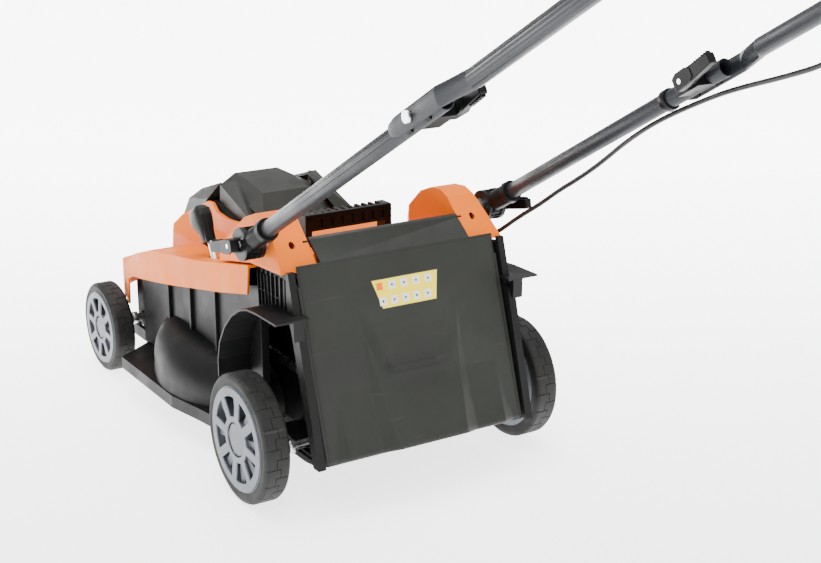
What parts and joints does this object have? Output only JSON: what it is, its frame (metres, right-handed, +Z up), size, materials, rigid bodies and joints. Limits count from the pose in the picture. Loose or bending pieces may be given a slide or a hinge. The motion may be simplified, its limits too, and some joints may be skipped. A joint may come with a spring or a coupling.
{
  "type": "cordless rotary lawn mower",
  "caption": "Compact cordless rotary lawn mower with a plastic deck, battery lid, rear flap, height lever, four wheels and a folding tube handle with a bail bar.",
  "frame": {"origin": "middle of the footprint of the whole mower, on the ground", "axes": "+X the operator's left, +Y back towards the operator, +Z up"},
  "size_m": [0.447, 1.459, 0.8218],
  "materials": {
    "deck_black": "black moulded plastic with a fine grain",
    "orange_cover": "satin orange moulded plastic",
    "hood_grey": "dark grey-green moulded plastic",
    "battery_black": "black battery case",
    "key_red": "red moulded key",
    "circuit_green": "lacquered circuit board",
    "motor_cast": "cast motor can",
    "steel": "zinc plated steel",
    "fan_grey": "moulded fan",
    "carrier_alloy": "turned alloy",
    "blade_steel": "black coated steel with ground edges",
    "clamp_black": "black moulded plastic",
    "knob_grey": "ribbed black plastic",
    "tube_grey": "grey-blue metallic powder coat",
    "grip_foam": "soft foam sleeve",
    "button_orange": "orange push button",
    "bail_steel": "black coated wire",
    "cable_black": "black cable sheath",
    "tyre_black": "dark grey moulded tread",
    "hub_grey": "light grey moulded wheel centre",
    "cap_dark": "dark grey cap"
  },
  "bodies": {
    "deck": {"deck_shell": "deck_black", "top_cover": "orange_cover", "handle_cover_left": "orange_cover", "handle_cover_right": "orange_cover", "battery_tray": "deck_black", "key_socket": "deck_black", "control_board": "circuit_green", "carry_handle": "deck_black", "motor_housing": "motor_cast", "flap_rod": "steel", "lever_bracket": "deck_black", "axle_bushes": "deck_black", "handle_brackets": "steel", "pivot_bolts": "steel", "cable_gland": "deck_black"},
    "rotor": {"motor_rotor": "steel", "cooling_fan": "fan_grey", "blade_carrier": "carrier_alloy", "blade": "blade_steel", "blade_bolt": "steel"},
    "battery_lid": {"battery_lid": "hood_grey"},
    "battery_pack_left": {"battery_pack_left": "battery_black"},
    "battery_pack_right": {"battery_pack_right": "battery_black"},
    "safety_key": {"safety_key": "key_red"},
    "flap": {"flap": "hood_grey"},
    "height_lever": {"height_lever": "steel", "height_knob": "knob_grey"},
    "front_axle": {"front_axle": "steel"},
    "rear_axle": {"rear_axle": "steel"},
    "height_link": {"height_link": "steel"},
    "lower_handle": {"lower_tube_left": "tube_grey", "lower_tube_right": "tube_grey", "handle_socket_left": "clamp_black", "handle_socket_right": "clamp_black", "joint_saddles": "clamp_black", "joint_bolts": "steel", "cable_clip": "clamp_black", "cable_lower": "cable_black"},
    "upper_handle": {"upper_tube": "tube_grey", "grip": "grip_foam", "switch_box": "clamp_black", "cable_upper": "cable_black"},
    "bail_bar": {"bail_bar": "bail_steel"},
    "lock_button": {"lock_button": "button_orange"},
    "lower_cam_left": {"lower_cam_left": "clamp_black"},
    "lower_cam_right": {"lower_cam_right": "clamp_black"},
    "upper_cam_left": {"upper_cam_left": "clamp_black"},
    "upper_cam_right": {"upper_cam_right": "clamp_black"},
    "front_wheel_left": {"front_tyre_left": "tyre_black", "front_hub_left": "hub_grey", "front_hub_cap_left": "cap_dark"},
    "front_wheel_right": {"front_tyre_right": "tyre_black", "front_hub_right": "hub_grey", "front_hub_cap_right": "cap_dark"},
    "rear_wheel_left": {"rear_tyre_left": "tyre_black", "rear_hub_left": "hub_grey", "rear_hub_cap_left": "cap_dark"},
    "rear_wheel_right": {"rear_tyre_right": "tyre_black", "rear_hub_right": "hub_grey", "rear_hub_cap_right": "cap_dark"}
  },
  "joints": [
    {"name": "motor_spin", "type": "hinge", "parent": "deck", "child": "rotor", "pos_m": [0, -0.36757, 0.06], "axis": [0, 0, 1], "continuous": true},
    {"name": "lid_hinge", "type": "hinge", "parent": "deck", "child": "battery_lid", "pos_m": [0, -0.57857, 0.241], "axis": [1, 0, 0], "range_deg": [0, 70]},
    {"name": "battery_left_lift", "type": "slide", "parent": "deck", "child": "battery_pack_left", "axis": [0, 0, 1], "range_m": [0, 0.02]},
    {"name": "battery_right_lift", "type": "slide", "parent": "deck", "child": "battery_pack_right", "axis": [0, 0, 1], "range_m": [0, 0.02]},
    {"name": "key_pull", "type": "slide", "parent": "deck", "child": "safety_key", "axis": [0, 0, 1], "range_m": [0, 0.012]},
    {"name": "flap_hinge", "type": "hinge", "parent": "deck", "child": "flap", "pos_m": [0, -0.10557, 0.326], "axis": [1, 0, 0], "range_deg": [0, 75], "stiffness_Nm_per_rad": 0.35, "springref_deg": -28.65},
    {"name": "height_lever", "type": "hinge", "parent": "deck", "child": "height_lever", "pos_m": [0.142, -0.30507, 0.22151], "axis": [-1, 0, 0], "range_deg": [0, 16]},
    {"name": "front_axle_turn", "type": "hinge", "parent": "deck", "child": "front_axle", "pos_m": [0, -0.60057, 0.092], "axis": [1, 0, 0], "range_deg": [0, 16]},
    {"name": "rear_axle_turn", "type": "hinge", "parent": "deck", "child": "rear_axle", "pos_m": [0, -0.05457, 0.08], "axis": [1, 0, 0], "range_deg": [0, 16]},
    {"name": "link_turn", "type": "hinge", "parent": "front_axle", "child": "height_link", "pos_m": [0.116, -0.60057, 0.16], "axis": [1, 0, 0], "range_deg": [-16, 0]},
    {"name": "front_wheel_left_spin", "type": "hinge", "parent": "front_axle", "child": "front_wheel_left", "pos_m": [0.18, -0.64557, 0.07], "axis": [1, 0, 0], "continuous": true},
    {"name": "front_wheel_right_spin", "type": "hinge", "parent": "front_axle", "child": "front_wheel_right", "pos_m": [-0.18, -0.64557, 0.07], "axis": [1, 0, 0], "continuous": true},
    {"name": "rear_wheel_left_spin", "type": "hinge", "parent": "rear_axle", "child": "rear_wheel_left", "pos_m": [0.205, -0.09957, 0.085], "axis": [1, 0, 0], "continuous": true},
    {"name": "rear_wheel_right_spin", "type": "hinge", "parent": "rear_axle", "child": "rear_wheel_right", "pos_m": [-0.205, -0.09957, 0.085], "axis": [1, 0, 0], "continuous": true},
    {"name": "handle_fold", "type": "hinge", "parent": "deck", "child": "lower_handle", "pos_m": [0, -0.12757, 0.3306], "axis": [1, 0, 0], "range_deg": [0, 150], "deforming": ["cable_lower"]},
    {"name": "upper_fold", "type": "hinge", "parent": "lower_handle", "child": "upper_handle", "pos_m": [0, 0.27453, 0.5581], "axis": [1, 0, 0], "range_deg": [-150, 0], "deforming": ["cable_upper"]},
    {"name": "lower_cam_left_turn", "type": "hinge", "parent": "lower_handle", "child": "lower_cam_left", "pos_m": [0.204, -0.12757, 0.3306], "axis": [0, -0.259, 0.9659], "range_deg": [0, 90]},
    {"name": "lower_cam_right_turn", "type": "hinge", "parent": "lower_handle", "child": "lower_cam_right", "pos_m": [-0.204, -0.12757, 0.3306], "axis": [0, -0.174, 0.9848], "range_deg": [0, 90]},
    {"name": "upper_cam_left_turn", "type": "hinge", "parent": "lower_handle", "child": "upper_cam_left", "pos_m": [0.149, 0.27453, 0.5581], "axis": [0, -0.5269, 0.8499], "range_deg": [0, 90]},
    {"name": "upper_cam_right_turn", "type": "hinge", "parent": "lower_handle", "child": "upper_cam_right", "pos_m": [-0.149, 0.27453, 0.5581], "axis": [0, 0.6, -0.8], "range_deg": [0, 90]},
    {"name": "bail_turn", "type": "hinge", "parent": "upper_handle", "child": "bail_bar", "pos_m": [0, 0.63834, 0.76393], "axis": [1, 0, 0], "range_deg": [0, 35], "stiffness_Nm_per_rad": 0.4, "springref_deg": -17.19},
    {"name": "lock_button_press", "type": "slide", "parent": "upper_handle", "child": "lock_button", "axis": [0, 0.4924, -0.8704], "range_m": [0, 0.003], "stiffness_N_per_m": 300, "springref_m": -0.002}
  ],
  "couplings": [
    {"joint": "front_axle_turn", "follows": "height_lever", "ratio": 1},
    {"joint": "rear_axle_turn", "follows": "height_lever", "ratio": 1},
    {"joint": "link_turn", "follows": "height_lever", "ratio": -1},
    {"joint": "upper_fold", "follows": "handle_fold", "ratio": -1}
  ]
}
